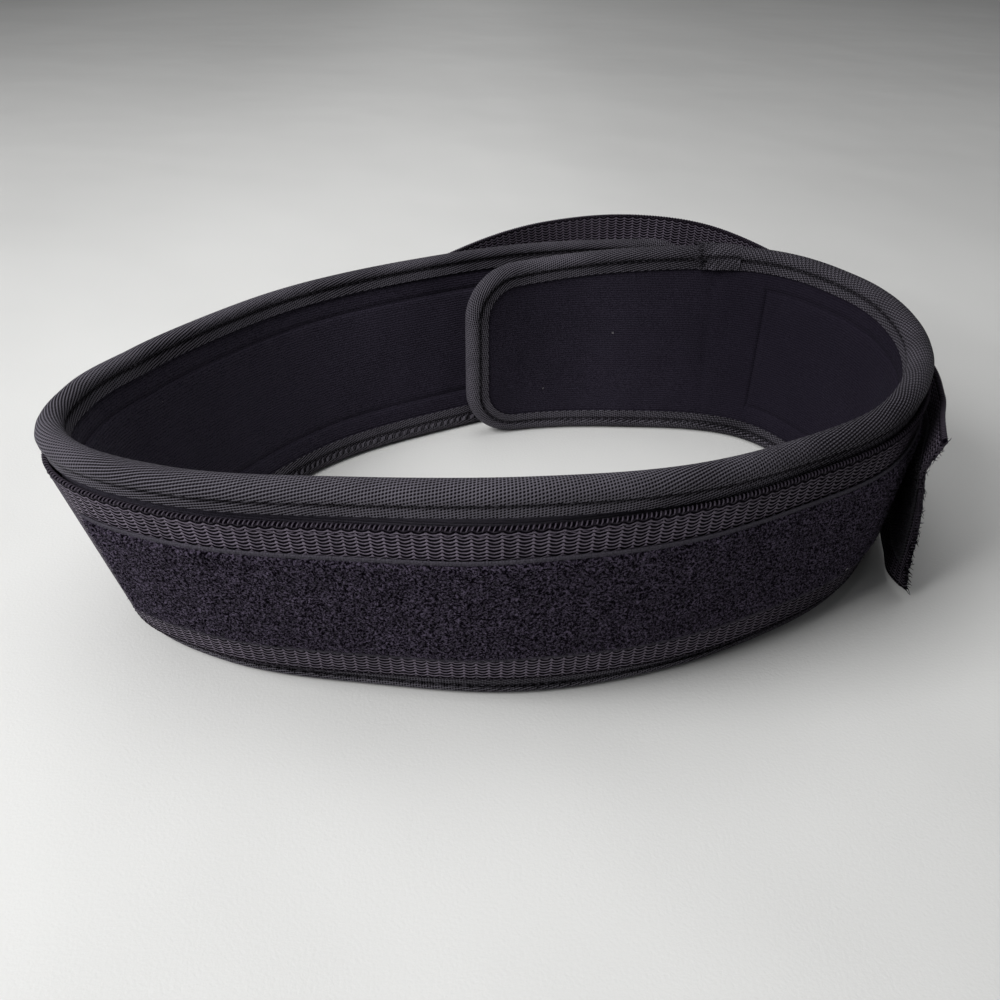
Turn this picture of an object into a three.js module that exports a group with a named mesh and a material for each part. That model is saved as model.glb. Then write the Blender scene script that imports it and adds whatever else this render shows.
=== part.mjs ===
// Weightlifting belt, standing on its bottom edge as a closed loop. Millimetres, +Z up.
// A contoured foam pad is bound all round with folded tape, and a wide strap is sewn to its outside
// with a pile panel on it. The strap's free tail bows out behind the overlapped pad ends, passes
// round the right bend and ends there, with a hook panel on its inner face.
// A piece is laid out flat, by its length along the belt, its height and its depth outwards,
// and each point is then placed on the curved, leaning wall that the belt stands in.
import * as THREE from "three";

// Loop that the belt stands in, at the middle of the pad's thickness
const loopLength = 314;
const loopDepth = 222;

// Pad
const padWidth = 99.5;
const padThickness = 7;
const padCornerRadius = 21;

// Edge binding: a tape folded over the pad's edge, and the lapped end that closes it
const tapeThickness = 0.9;
const bindingReach = 10.4;
const restFlat = 0.3;
const lapLength = 20;
const lapTurn = 145.5;

// Strap with its free tail, whose cut end is slanted and has one corner bent outwards
const webWidth = 76.2;
const webThickness = 1.8;
const webStartTurn = 137;
const webLeaveTurn = -152;
const tailRise = 3.4;
const tailCut = 15;
const twistLength = 48;
const earLength = 52;
const earFlare = 8;

// Pile panel and hook panel
const pileWidth = 50.8;
const pileThickness = 2.2;
const pileStartTurn = -53;
const pileEndTurn = 112;
const hookWidth = 50.8;
const hookThickness = 1.6;
const hookLength = 76;
const hookInset = 4;

// Clearance between layers, and how finely the walls are divided
const gap = 0.3;
const turnStep = 2;
const ringStep = 12;
const cornerSteps = 4;

// Wall of the pad: turn in degrees from the middle of the near side, positive to the right,
// reach as a share of the loop's half sizes, lean as a share of the height, width of padWidth
const padRows = [
  { turn: -206, reach: 1.478, lean: 0.32, width: 0.89 },
  { turn: -186, reach: 1.264, lean: 0.32, width: 0.9 },
  { turn: -164, reach: 1.048, lean: 0.32, width: 0.9 },
  { turn: -140, reach: 0.94, lean: 0.32, width: 0.89 },
  { turn: -115, reach: 0.889, lean: 0.31, width: 0.888 },
  { turn: -92, reach: 0.934, lean: 0.29, width: 0.896 },
  { turn: -75, reach: 1.036, lean: 0.26, width: 0.91 },
  { turn: -58, reach: 1.128, lean: 0.24, width: 0.93 },
  { turn: -40, reach: 1.09, lean: 0.22, width: 0.954 },
  { turn: -20, reach: 1.001, lean: 0.2, width: 0.98 },
  { turn: 0, reach: 0.976, lean: 0.19, width: 1 },
  { turn: 20, reach: 0.926, lean: 0.17, width: 0.96 },
  { turn: 40, reach: 0.898, lean: 0.14, width: 0.93 },
  { turn: 60, reach: 0.927, lean: 0.14, width: 0.93 },
  { turn: 80, reach: 0.959, lean: 0.13, width: 0.953 },
  { turn: 100, reach: 1.008, lean: 0.12, width: 0.98 },
  { turn: 120, reach: 1.086, lean: 0.11, width: 0.99 },
  { turn: 140, reach: 1.154, lean: 0.09, width: 0.985 },
  { turn: 160, reach: 1.024, lean: 0.05, width: 0.96 },
  { turn: 178, reach: 0.918, lean: 0, width: 0.92 },
  { turn: 190.5, reach: 0.835, lean: -0.02, width: 0.9 },
];

// Wall of the free tail: x and y as shares of the loop's half sizes, lean as a share of the height
const tailRows = [
  { x: -0.28, y: 1.07, lean: 0.3 },
  { x: -0.15, y: 1.39, lean: 0.28 },
  { x: 0.02, y: 1.7, lean: 0.22 },
  { x: 0.18, y: 1.875, lean: 0.16 },
  { x: 0.397, y: 1.975, lean: 0.12 },
  { x: 0.6, y: 1.905, lean: 0.1 },
  { x: 0.73, y: 1.716, lean: 0.1 },
  { x: 0.864, y: 1.286, lean: 0.1 },
  { x: 0.98, y: 0.715, lean: 0.1 },
  { x: 1.036, y: 0.153, lean: 0.1 },
  { x: 0.995, y: -0.159, lean: 0.09 },
  { x: 0.951, y: -0.332, lean: 0.02 },
  { x: 0.917, y: -0.55, lean: -0.2 },
];

// Share of the pad's spare width that lies above the strap
const webRows = [
  { turn: -152, above: 0.6 },
  { turn: -80, above: 0.74 },
  { turn: 0, above: 0.54 },
  { turn: 80, above: 0.6 },
  { turn: 137, above: 0.62 },
];

const halfPad = padThickness / 2;
const bindingFace = halfPad + gap;
const noseRadius = bindingFace + tapeThickness;
const legLength = bindingReach - noseRadius;
const noseTurn = Math.PI / 6;
const outerTurns = [0.3, 0.1, -0.1, -0.3].map((share) => share * Math.PI);
const webFace = noseRadius + gap;
const webBack = webFace + webThickness;

// Smooth curve through values at knots, read at one place
function smooth(knots, values, at) {
  let i = 0;
  while (i < knots.length - 2 && at > knots[i + 1]) i += 1;
  const slope = (k) => {
    const low = Math.max(k - 1, 0);
    const high = Math.min(k + 1, knots.length - 1);
    return (values[high] - values[low]) / (knots[high] - knots[low]);
  };
  const span = knots[i + 1] - knots[i];
  const t = (at - knots[i]) / span;
  const rise = values[i + 1] - values[i];
  const a = slope(i) * span;
  const b = slope(i + 1) * span;
  return values[i] + t * (a + t * (3 * rise - 2 * a - b + t * (a + b - 2 * rise)));
}

function readRow(rows, name, turn) {
  return smooth(rows.map((row) => row.turn), rows.map((row) => row[name]), turn);
}

// Section of the pad's wall at one turn: its middle in plan, its lean, its width and the strap's foot
function padSection(turn) {
  const angle = THREE.MathUtils.degToRad(turn);
  const reach = readRow(padRows, "reach", turn);
  const width = padWidth * readRow(padRows, "width", turn);
  return {
    turn,
    x: (loopLength / 2) * reach * Math.sin(angle),
    y: -(loopDepth / 2) * reach * Math.cos(angle),
    lean: readRow(padRows, "lean", turn),
    width,
    foot: (width - webWidth) * (1 - readRow(webRows, "above", turn)),
  };
}

function padSections(from, to) {
  const count = Math.round(Math.abs(to - from) / turnStep);
  return Array.from({ length: count + 1 }, (_, i) => padSection(from + ((to - from) * i) / count));
}

// Sections of the free tail, which starts along the pad and leaves it
function tailSections() {
  const rows = tailRows.map((row) => ({
    x: (row.x * loopLength) / 2,
    y: (row.y * loopDepth) / 2,
    lean: row.lean,
    width: webWidth + 2 * tailRise,
    foot: tailRise,
  }));
  const bones = [padSection(webLeaveTurn + 4 * turnStep), padSection(webLeaveTurn), ...rows];
  const knots = [0];
  for (let i = 1; i < bones.length; i += 1) {
    knots.push(knots[i - 1] + Math.hypot(bones[i].x - bones[i - 1].x, bones[i].y - bones[i - 1].y));
  }
  const length = knots[knots.length - 1] - knots[1];
  const count = Math.ceil(length / ringStep) * 2;
  const read = (name, at) => smooth(knots, bones.map((bone) => bone[name]), at);
  return Array.from({ length: count }, (_, i) => {
    const at = knots[1] + (length * (i + 1)) / count;
    const section = { turn: webLeaveTurn - (i + 1) / count };
    for (const name of ["x", "y", "lean", "width", "foot"]) section[name] = read(name, at);
    return section;
  });
}

// A wall is a row of sections along the belt, each with its length so far and its outward normal
function makeWall(sections, side) {
  const wall = sections.map((section) => ({ ...section, s: 0 }));
  for (let i = 0; i < wall.length; i += 1) {
    const before = wall[Math.max(i - 1, 0)];
    const after = wall[Math.min(i + 1, wall.length - 1)];
    const run = Math.hypot(after.x - before.x, after.y - before.y);
    wall[i].nx = (side * (after.y - before.y)) / run;
    wall[i].ny = (-side * (after.x - before.x)) / run;
    if (i > 0) wall[i].s = before.s + Math.hypot(wall[i].x - before.x, wall[i].y - before.y);
  }
  return wall;
}

const wallEnd = (wall) => wall[wall.length - 1].s;

// Section at a length along a wall, mixed from its two neighbours
function sectionAt(wall, s) {
  let i = 0;
  while (i < wall.length - 2 && s > wall[i + 1].s) i += 1;
  const share = (s - wall[i].s) / (wall[i + 1].s - wall[i].s);
  const mixed = {};
  for (const name of Object.keys(wall[i])) {
    mixed[name] = THREE.MathUtils.lerp(wall[i][name], wall[i + 1][name], share);
  }
  return mixed;
}

// Length along the pad's wall, whose turns rise with it, at one turn
function lengthAt(wall, turn) {
  const i = Math.max(wall.findIndex((section) => section.turn >= turn), 1);
  const share = (turn - wall[i - 1].turn) / (wall[i].turn - wall[i - 1].turn);
  return THREE.MathUtils.lerp(wall[i - 1].s, wall[i].s, share);
}

// Point on a wall: s along it, height up its slope from the bottom edge, depth outwards.
// The bottom edge is pressed flat where the belt rests.
function place(wall, s, height, depth) {
  const section = sectionAt(wall, s);
  const upright = Math.sqrt(1 - section.lean ** 2);
  const out = (height - section.width / 2) * section.lean + depth * upright;
  const z = height * upright - depth * section.lean - restFlat;
  return new THREE.Vector3(section.x + section.nx * out, section.y + section.ny * out, Math.max(z, 0));
}

// Stations from one length to another, about one spacing apart
function stations(from, to, spacing) {
  const count = Math.max(Math.round(Math.abs(to - from) / spacing), 1);
  return Array.from({ length: count + 1 }, (_, i) => THREE.MathUtils.lerp(from, to, i / count));
}

// Closed solid through rings of points, joined end to end, or capped where a flat outline is given.
// A ring's first half lies on one face and its second half on the other, with the same diagonals.
function ringSolid(rings, outline) {
  const count = rings[0].length;
  const spans = outline ? rings.length - 1 : rings.length;
  const index = [];
  for (let i = 0; i < spans; i += 1) {
    const next = (i + 1) % rings.length;
    for (let j = 0; j < count; j += 1) {
      const side = (j + 1) % count;
      const [a, b] = [i * count + j, i * count + side];
      const [c, d] = [next * count + side, next * count + j];
      if (j < count / 2) index.push(a, b, c, a, c, d);
      else index.push(a, b, d, b, c, d);
    }
  }
  if (outline) {
    const last = (rings.length - 1) * count;
    const turned = THREE.ShapeUtils.isClockWise(outline);
    for (const [a, b, c] of THREE.ShapeUtils.triangulateShape(outline, [])) {
      const [second, third] = turned ? [b, c] : [c, b];
      index.push(a, second, third, last + a, last + third, last + second);
    }
  }
  const geometry = new THREE.BufferGeometry();
  const coordinates = rings.flat().flatMap((point) => point.toArray());
  geometry.setAttribute("position", new THREE.Float32BufferAttribute(coordinates, 3));
  geometry.setIndex(index);
  return facingOut(geometry);
}

// The same geometry with its faces outwards, by the sign of the volume that they enclose
function facingOut(geometry) {
  const position = geometry.attributes.position;
  const index = geometry.index.array;
  const corner = (k) => new THREE.Vector3().fromBufferAttribute(position, index[k]);
  let volume = 0;
  for (let k = 0; k < index.length; k += 3) volume += corner(k).dot(corner(k + 1).cross(corner(k + 2)));
  if (volume < 0) {
    for (let k = 0; k < index.length; k += 3) [index[k + 1], index[k + 2]] = [index[k + 2], index[k + 1]];
  }
  geometry.computeVertexNormals();
  return geometry;
}

// Convex outline with as many corners as a ring has, to cap its solid by
function roundOutline(count) {
  return Array.from({ length: count }, (_, i) => {
    const angle = (2 * Math.PI * i) / count;
    return new THREE.Vector2(Math.cos(angle), Math.sin(angle));
  });
}

// How far the pad's rounded corners cut in, at angles of their arc from the end to the edge
function cornerArc() {
  return Array.from({ length: cornerSteps + 1 }, (_, i) => {
    const angle = (Math.PI / 2) * (i / cornerSteps);
    return { along: padCornerRadius * (1 - Math.cos(angle)), inset: padCornerRadius * (1 - Math.sin(angle)) };
  });
}

const padWall = makeWall(padSections(padRows[0].turn, padRows[padRows.length - 1].turn), 1);
const strapWall = makeWall([...padSections(webStartTurn, webLeaveTurn), ...tailSections()], -1);
const padEnd = wallEnd(padWall) - noseRadius;
const strapEnd = wallEnd(strapWall);
const straightStations = stations(noseRadius + padCornerRadius, padEnd - padCornerRadius, ringStep);

// Stations shared by all that lies on the pad, so that layers bend alike, between two lengths
function sharedStations(from, to) {
  const inside = straightStations.filter((s) => s > from + gap && s < to - gap);
  return [from, ...inside, to];
}

// Pad with rounded long edges, and corners rounded at both ends
function pad() {
  const arc = cornerArc();
  const insets = [
    ...arc.map(({ along, inset }) => ({ s: noseRadius + along, inset })),
    ...straightStations.slice(1, -1).map((s) => ({ s, inset: 0 })),
    ...arc.map(({ along, inset }) => ({ s: padEnd - along, inset })).reverse(),
  ];
  const edgeReach = halfPad * Math.cos(noseTurn);
  const edgeDepth = halfPad * Math.sin(noseTurn);
  const rings = insets.map(({ s, inset }) => {
    const low = noseRadius + inset;
    const high = sectionAt(padWall, s).width - low;
    const inside = [
      [low - edgeReach, -edgeDepth], [low, -halfPad], [high, -halfPad], [high + edgeReach, -edgeDepth],
    ];
    const outside = inside.map(([height, depth]) => [height, -depth]).reverse();
    return [...inside, ...outside].map(([height, depth]) => place(padWall, s, height, depth));
  });
  return ringSolid(rings, roundOutline(rings[0].length));
}

// Stations round the pad's edge, in flat length and height, each with its outward direction
function edgePath() {
  const arc = cornerArc();
  const inner = straightStations.slice(1, -1);
  const lower = (s) => ({ s, height: noseRadius, ds: 0, dh: -1 });
  const upper = (s) => ({ s, height: sectionAt(padWall, s).width - noseRadius, ds: 0, dh: 1 });
  const corner = (end, ds, dh) => arc.map(({ along, inset }) => {
    const s = end - ds * along;
    const height = dh < 0 ? noseRadius + inset : sectionAt(padWall, s).width - noseRadius - inset;
    const across = 1 - along / padCornerRadius;
    return { s, height, ds: ds * across, dh: dh * Math.sqrt(1 - across ** 2) };
  });
  return [
    ...inner.map(lower),
    ...corner(padEnd, 1, -1).reverse(),
    ...corner(padEnd, 1, 1),
    ...inner.map(upper).reverse(),
    ...corner(noseRadius, -1, 1).reverse(),
    ...corner(noseRadius, -1, -1),
  ];
}

// Section of a folded tape as points of inward reach and depth, its nose turned to lie on the floor
function foldedTape(innerFace, innerTurns, turned) {
  const outerFace = innerFace + tapeThickness;
  const reach = legLength;
  const nose = (radius, angles, shift) => angles.map((angle) => [
    -radius * Math.cos(angle + shift), radius * Math.sin(angle + shift),
  ]);
  return [
    [reach, outerFace], [0, outerFace], ...nose(outerFace, outerTurns, turned),
    [0, -outerFace], [reach, -outerFace],
    [reach, -innerFace], [0, -innerFace], ...nose(innerFace, innerTurns.toReversed(), 0),
    [0, innerFace], [reach, innerFace],
  ];
}

function tapeRing(station, innerFace, innerTurns) {
  const lean = Math.asin(sectionAt(padWall, station.s).lean);
  const section = foldedTape(innerFace, innerTurns, lean * Math.max(-station.dh, 0));
  return section.map(([inward, depth]) =>
    place(padWall, station.s - station.ds * inward, station.height - station.dh * inward, depth));
}

function edgeBinding() {
  return ringSolid(edgePath().map((station) => tapeRing(station, bindingFace, [noseTurn, -noseTurn])));
}

// Cut end of the binding tape, lapped over its start on the top edge
function bindingLap() {
  const middle = lengthAt(padWall, lapTurn);
  const rings = sharedStations(middle - lapLength / 2, middle + lapLength / 2).map((s) => {
    const station = { s, height: sectionAt(padWall, s).width - noseRadius, ds: 0, dh: 1 };
    return tapeRing(station, noseRadius + gap, outerTurns);
  });
  const section = foldedTape(noseRadius + gap, outerTurns, 0);
  const outline = section.map(([inward, depth]) => new THREE.Vector2(inward, depth));
  return ringSolid(rings, outline);
}

// Point on the strap, whose tail is cut at a slant that reaches further back below
function placeOnStrap(s, up, depth) {
  const slant = tailCut * THREE.MathUtils.smoothstep(s, strapEnd - 4 * tailCut, strapEnd);
  const foot = sectionAt(strapWall, s).foot;
  return place(strapWall, s - slant * (1 - up / webWidth), foot + up, depth);
}

// Strip on the strap between its lowest and highest levels, with a ring at each length given
function strapStrip(lengths, levels, [inner, outer], flare) {
  const rings = lengths.map((s) => {
    const top = flare * THREE.MathUtils.smoothstep(s, strapEnd - earLength, strapEnd);
    const face = (depth) => levels.map((up) => placeOnStrap(s, up, up === webWidth ? depth + top : depth));
    return [...face(inner), ...face(outer).reverse()];
  });
  return ringSolid(rings, roundOutline(rings[0].length));
}

// Levels across the strap, the same for what is sewn to it
const hookMargin = (webWidth - hookWidth) / 2;
const pileMargin = (webWidth - pileWidth) / 2;
const hookLevels = [hookMargin, webWidth / 2, webWidth - hookMargin];
const pileLevels = [pileMargin, webWidth / 2, webWidth - pileMargin];

// Stations along the free tail, closer together where its end twists
function tailStations() {
  const twist = strapEnd - twistLength;
  const plain = stations(strapLengthAt(webLeaveTurn), twist, ringStep).slice(1);
  return [...plain, ...stations(twist, strapEnd, ringStep / 3).slice(1)];
}

function webStrap() {
  const lengths = [...sewnStations(webStartTurn, webLeaveTurn), ...tailStations()];
  return strapStrip(lengths, [0, ...hookLevels, webWidth], [webFace, webBack], earFlare);
}

// Length along the strap, which starts at its own turn and runs the other way, at one turn
function strapLengthAt(turn) {
  return lengthAt(padWall, webStartTurn) - lengthAt(padWall, turn);
}

// Stations on the strap's sewn stretch between two turns, where the pad's own lie
function sewnStations(from, to) {
  const onPad = sharedStations(lengthAt(padWall, to), lengthAt(padWall, from));
  return onPad.map((s) => lengthAt(padWall, webStartTurn) - s).reverse();
}

function pilePanel() {
  const lengths = sewnStations(pileEndTurn, pileStartTurn);
  return strapStrip(lengths, pileLevels, [webBack + gap, webBack + gap + pileThickness], 0);
}

function hookPanel() {
  const [from, to] = [strapEnd - hookInset - hookLength, strapEnd - hookInset];
  const lengths = [from, ...tailStations().filter((s) => s > from && s < to), to];
  return strapStrip(lengths, hookLevels, [webFace - gap - hookThickness, webFace - gap], 0);
}

const belt = new THREE.Group();
const parts = [
  ["pad", pad(), 0x16151c, 0.95],
  ["edge_binding", edgeBinding(), 0x1d1b22, 0.7],
  ["binding_lap", bindingLap(), 0x232128, 0.75],
  ["web_strap", webStrap(), 0x201e24, 0.8],
  ["pile_panel", pilePanel(), 0x0f0f13, 1],
  ["hook_panel", hookPanel(), 0x28262c, 0.6],
];
for (const [name, geometry, color, roughness] of parts) {
  const mesh = new THREE.Mesh(geometry, new THREE.MeshStandardMaterial({ color, roughness, metalness: 0 }));
  mesh.name = name;
  belt.add(mesh);
}

// Origin at the middle of the belt's footprint, on the surface that it stands on
const extent = new THREE.Box3().setFromObject(belt);
const centre = extent.getCenter(new THREE.Vector3());
belt.position.set(-centre.x, -centre.y, -extent.min.z);

export default belt;
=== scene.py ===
import math
import bpy
import numpy as np
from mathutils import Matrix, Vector


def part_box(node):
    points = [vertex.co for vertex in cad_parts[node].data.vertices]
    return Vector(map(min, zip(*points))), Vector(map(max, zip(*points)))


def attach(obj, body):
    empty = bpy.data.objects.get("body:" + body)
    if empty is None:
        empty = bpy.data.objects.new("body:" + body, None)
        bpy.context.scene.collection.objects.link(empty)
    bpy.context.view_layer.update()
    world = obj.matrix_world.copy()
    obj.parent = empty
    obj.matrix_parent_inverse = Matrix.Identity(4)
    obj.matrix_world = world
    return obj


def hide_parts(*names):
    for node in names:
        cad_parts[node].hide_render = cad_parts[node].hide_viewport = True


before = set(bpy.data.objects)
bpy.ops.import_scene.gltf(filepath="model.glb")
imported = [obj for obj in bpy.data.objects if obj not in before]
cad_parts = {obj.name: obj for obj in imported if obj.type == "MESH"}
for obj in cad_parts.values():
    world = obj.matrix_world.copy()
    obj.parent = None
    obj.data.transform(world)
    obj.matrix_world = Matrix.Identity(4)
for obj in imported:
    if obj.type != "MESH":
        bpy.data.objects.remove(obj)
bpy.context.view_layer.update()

mm = 0.001

# What the belt is made to, in millimetres, the same values as in the solids
belt = {
    "loopLength": 314, "loopDepth": 222,
    "padWidth": 99.5, "padThickness": 7, "padCorner": 21,
    "tapeThickness": 0.9, "bindingReach": 10.4, "restFlat": 0.3,
    "lapLength": 20, "lapTurn": 145.5,
    "webWidth": 76.2, "webThickness": 1.8, "webStartTurn": 137, "webLeaveTurn": -152,
    "tailRise": 3.4, "tailCut": 15, "earLength": 52, "earFlare": 8,
    "pileWidth": 50.8, "pileThickness": 2.2, "pileStartTurn": -53, "pileEndTurn": 112,
    "hookWidth": 50.8, "hookLength": 76, "hookInset": 4,
    "gap": 0.3,
}
halfPad = belt["padThickness"] / 2
noseRadius = halfPad + belt["gap"] + belt["tapeThickness"]
webFace = noseRadius + belt["gap"]
webBack = webFace + belt["webThickness"]
pileFace = webBack + belt["gap"]

# turn in degrees from the middle of the near side, reach, lean and width as shares
padRows = np.array([
    (-206, 1.478, 0.32, 0.89), (-186, 1.264, 0.32, 0.9), (-164, 1.048, 0.32, 0.9),
    (-140, 0.94, 0.32, 0.89), (-115, 0.889, 0.31, 0.888), (-92, 0.934, 0.29, 0.896),
    (-75, 1.036, 0.26, 0.91), (-58, 1.128, 0.24, 0.93), (-40, 1.09, 0.22, 0.954),
    (-20, 1.001, 0.2, 0.98), (0, 0.976, 0.19, 1), (20, 0.926, 0.17, 0.96),
    (40, 0.898, 0.14, 0.93), (60, 0.927, 0.14, 0.93), (80, 0.959, 0.13, 0.953),
    (100, 1.008, 0.12, 0.98), (120, 1.086, 0.11, 0.99), (140, 1.154, 0.09, 0.985),
    (160, 1.024, 0.05, 0.96), (178, 0.918, 0, 0.92), (190.5, 0.835, -0.02, 0.9),
])
# x, y and lean of the free tail
tailRows = np.array([
    (-0.28, 1.07, 0.3), (-0.15, 1.39, 0.28), (0.02, 1.7, 0.22), (0.18, 1.875, 0.16),
    (0.397, 1.975, 0.12), (0.6, 1.905, 0.1), (0.73, 1.716, 0.1), (0.864, 1.286, 0.1),
    (0.98, 0.715, 0.1), (1.036, 0.153, 0.1), (0.995, -0.159, 0.09), (0.951, -0.332, 0.02),
    (0.917, -0.55, -0.2),
])
# turn, share of the spare width above the strap
webRows = np.array([(-152, 0.6), (-80, 0.74), (0, 0.54), (80, 0.6), (137, 0.62)])


def smooth(knots, values, at):
    knots, values, at = (np.asarray(a, float) for a in (knots, values, at))
    i = np.clip(np.searchsorted(knots, at, side="left") - 1, 0, len(knots) - 2)
    own = np.arange(len(knots))
    low, high = np.maximum(own - 1, 0), np.minimum(own + 1, len(knots) - 1)
    slope = (values[high] - values[low]) / (knots[high] - knots[low])
    span, rise = knots[i + 1] - knots[i], values[i + 1] - values[i]
    t = (at - knots[i]) / span
    a, b = slope[i] * span, slope[i + 1] * span
    return values[i] + t * (a + t * (3 * rise - 2 * a - b + t * (a + b - 2 * rise)))


def padSections(turns):
    reach, lean, width = (smooth(padRows[:, 0], padRows[:, k], turns) for k in (1, 2, 3))
    above = smooth(webRows[:, 0], webRows[:, 1], turns)
    angle = np.radians(turns)
    return {
        "turn": turns,
        "x": belt["loopLength"] / 2 * reach * np.sin(angle),
        "y": -belt["loopDepth"] / 2 * reach * np.cos(angle),
        "lean": lean,
        "width": belt["padWidth"] * width,
        "foot": (belt["padWidth"] * width - belt["webWidth"]) * (1 - above),
    }


def tailSections():
    start = padSections(np.array([belt["webLeaveTurn"] + 8.0, belt["webLeaveTurn"]]))
    x = np.concatenate([start["x"], tailRows[:, 0] * belt["loopLength"] / 2])
    y = np.concatenate([start["y"], tailRows[:, 1] * belt["loopDepth"] / 2])
    count = len(tailRows)
    lean = np.concatenate([start["lean"], tailRows[:, 2]])
    width = np.concatenate([start["width"], np.full(count, belt["webWidth"] + 2 * belt["tailRise"])])
    foot = np.concatenate([start["foot"], np.full(count, belt["tailRise"])])
    knots = np.concatenate([[0], np.cumsum(np.hypot(np.diff(x), np.diff(y)))])
    at = np.arange(knots[1] + 1, knots[-1], 1.0)
    at = np.append(at, knots[-1])
    section = {name: smooth(knots, values, at) for name, values in
               (("x", x), ("y", y), ("lean", lean), ("width", width), ("foot", foot))}
    section["turn"] = belt["webLeaveTurn"] - (at - knots[1]) / (knots[-1] - knots[1])
    return section


def makeWall(section, side):
    step = lambda a: np.concatenate([[a[1] - a[0]], a[2:] - a[:-2], [a[-1] - a[-2]]])
    dx, dy = step(section["x"]), step(section["y"])
    run = np.hypot(dx, dy)
    length = np.concatenate([[0], np.cumsum(np.hypot(np.diff(section["x"]), np.diff(section["y"])))])
    return {**section, "s": length, "nx": side * dy / run, "ny": -side * dx / run}


padWall = makeWall(padSections(np.arange(padRows[0, 0], padRows[-1, 0] + 0.1, 0.5)), 1)
sewn = padSections(np.arange(belt["webStartTurn"], belt["webLeaveTurn"] - 0.1, -0.5))
tail = tailSections()
strapWall = makeWall({name: np.concatenate([sewn[name], tail[name]]) for name in sewn}, -1)
padEnd = padWall["s"][-1] - noseRadius
strapEnd = strapWall["s"][-1]


def along(wall, s, name):
    return np.interp(s, wall["s"], wall[name])


def lengthAt(turn):
    return float(np.interp(turn, padWall["turn"], padWall["s"]))


def strapLengthAt(turn):
    return lengthAt(belt["webStartTurn"]) - lengthAt(turn)


# Points of a wall in millimetres, before the belt is centred
def place(wall, s, height, depth):
    lean, width = along(wall, s, "lean"), along(wall, s, "width")
    upright = np.sqrt(1 - lean ** 2)
    out = (height - width / 2) * lean + depth * upright
    z = height * upright - depth * lean - belt["restFlat"]
    return np.stack([along(wall, s, "x") + along(wall, s, "nx") * out,
                     along(wall, s, "y") + along(wall, s, "ny") * out, np.maximum(z, 0)], -1)


# The solids are centred on their footprint: the pad's two boxes give how far
def findCentre():
    s, height = np.meshgrid(np.linspace(noseRadius, padEnd, 900), np.array([noseRadius, 1.0]))
    height[1] = along(padWall, s[1], "width") - noseRadius
    faces = np.concatenate([place(padWall, s, height, depth) for depth in (-halfPad, halfPad)])
    inner = (s > noseRadius + belt["padCorner"]) & (s < padEnd - belt["padCorner"])
    points = faces[np.concatenate([inner, inner])]
    low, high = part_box("pad")
    boxMiddle = np.array(low + high)[:2] / 2 / mm
    return (points.min(0)[:2] + points.max(0)[:2]) / 2 - boxMiddle


centre = findCentre()
print("belt centre", centre.round(3))


def toFrame(points):
    moved = points.copy()
    moved[..., :2] -= centre
    return moved * mm


# Quads through rings of points, with a cap at each end unless the rings close
def ringFaces(rings, count, closed=False):
    ring = np.arange(count)
    turned = np.roll(ring, -1)
    faces = []
    for i in range(rings if closed else rings - 1):
        a, b = i * count, (i + 1) % rings * count
        faces.append(np.stack([a + ring, a + turned, b + turned, b + ring], -1))
    if not closed:
        i = np.arange(count // 2 - 1)
        near = np.stack([i, count - 1 - i, count - 2 - i, i + 1], -1)
        faces += [near, near[:, ::-1] + (rings - 1) * count]
    return np.concatenate(faces).tolist()


def addPiece(name, points, faces):
    mesh = bpy.data.meshes.new(name)
    mesh.from_pydata(points.reshape(-1, 3).tolist(), [], faces)
    piece = bpy.data.objects.new(name, mesh)
    bpy.context.collection.objects.link(piece)
    return piece


# The flat place of each point in millimetres, which the cloths are drawn on
def setLaid(mesh, laid):
    flat = mesh.attributes.new("laid", "FLOAT_VECTOR", "POINT")
    flat.data.foreach_set("vector", laid.reshape(-1).astype(np.float32))


def makeSkin(name, points, laid, closed=False):
    piece = addPiece(name, toFrame(points), ringFaces(*points.shape[:2], closed))
    setLaid(piece.data, laid)
    finishSkin(piece)
    return piece


def pickOnly(piece):
    bpy.ops.object.select_all(action="DESELECT")
    piece.select_set(True)
    bpy.context.view_layer.objects.active = piece


def finishSkin(piece):
    pickOnly(piece)
    bpy.ops.object.mode_set(mode="EDIT")
    bpy.ops.mesh.select_all(action="SELECT")
    bpy.ops.mesh.normals_make_consistent(inside=False)
    bpy.ops.object.mode_set(mode="OBJECT")
    bpy.ops.object.shade_smooth_by_angle(angle=math.radians(50))


# Threads of one kind as one mesh: paths is (threads, points, 3), radius one number or one for each point
def makeThreads(name, paths, radius, sides=4, laid=None):
    threads, count = paths.shape[:2]
    tangent = np.gradient(paths, axis=1)
    tangent /= np.linalg.norm(tangent, axis=2, keepdims=True) + 1e-9
    helper = np.where(np.abs(tangent[..., 2:3]) > 0.9, np.array([1.0, 0, 0]), np.array([0, 0, 1.0]))
    side = np.cross(tangent, helper)
    side /= np.linalg.norm(side, axis=2, keepdims=True) + 1e-9
    top = np.cross(side, tangent)
    radius = np.broadcast_to(radius, (threads, count))[..., None, None]
    angle = np.arange(sides) * 2 * math.pi / sides
    around = (np.cos(angle)[:, None] * side[:, :, None] + np.sin(angle)[:, None] * top[:, :, None])
    points = paths[:, :, None] + radius * around
    base = (np.arange(threads) * count * sides)[:, None, None]
    j, k = np.meshgrid(np.arange(count - 1), np.arange(sides), indexing="ij")
    a, b = j * sides + k, j * sides + (k + 1) % sides
    quads = (base[..., None] + np.stack([a, a + sides, b + sides, b], -1)[None]).reshape(-1, 4)
    caps = np.concatenate([base[:, 0] + np.arange(sides)[None],
                           base[:, 0] + (count - 1) * sides + np.arange(sides)[None, ::-1]])
    piece = addPiece(name, toFrame(points), quads.tolist() + caps.tolist())
    setLaid(piece.data, points if laid is None else np.broadcast_to(np.array(laid, float), points.shape))
    piece.data.polygons.foreach_set("use_smooth", [True] * len(piece.data.polygons))
    return piece


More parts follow.
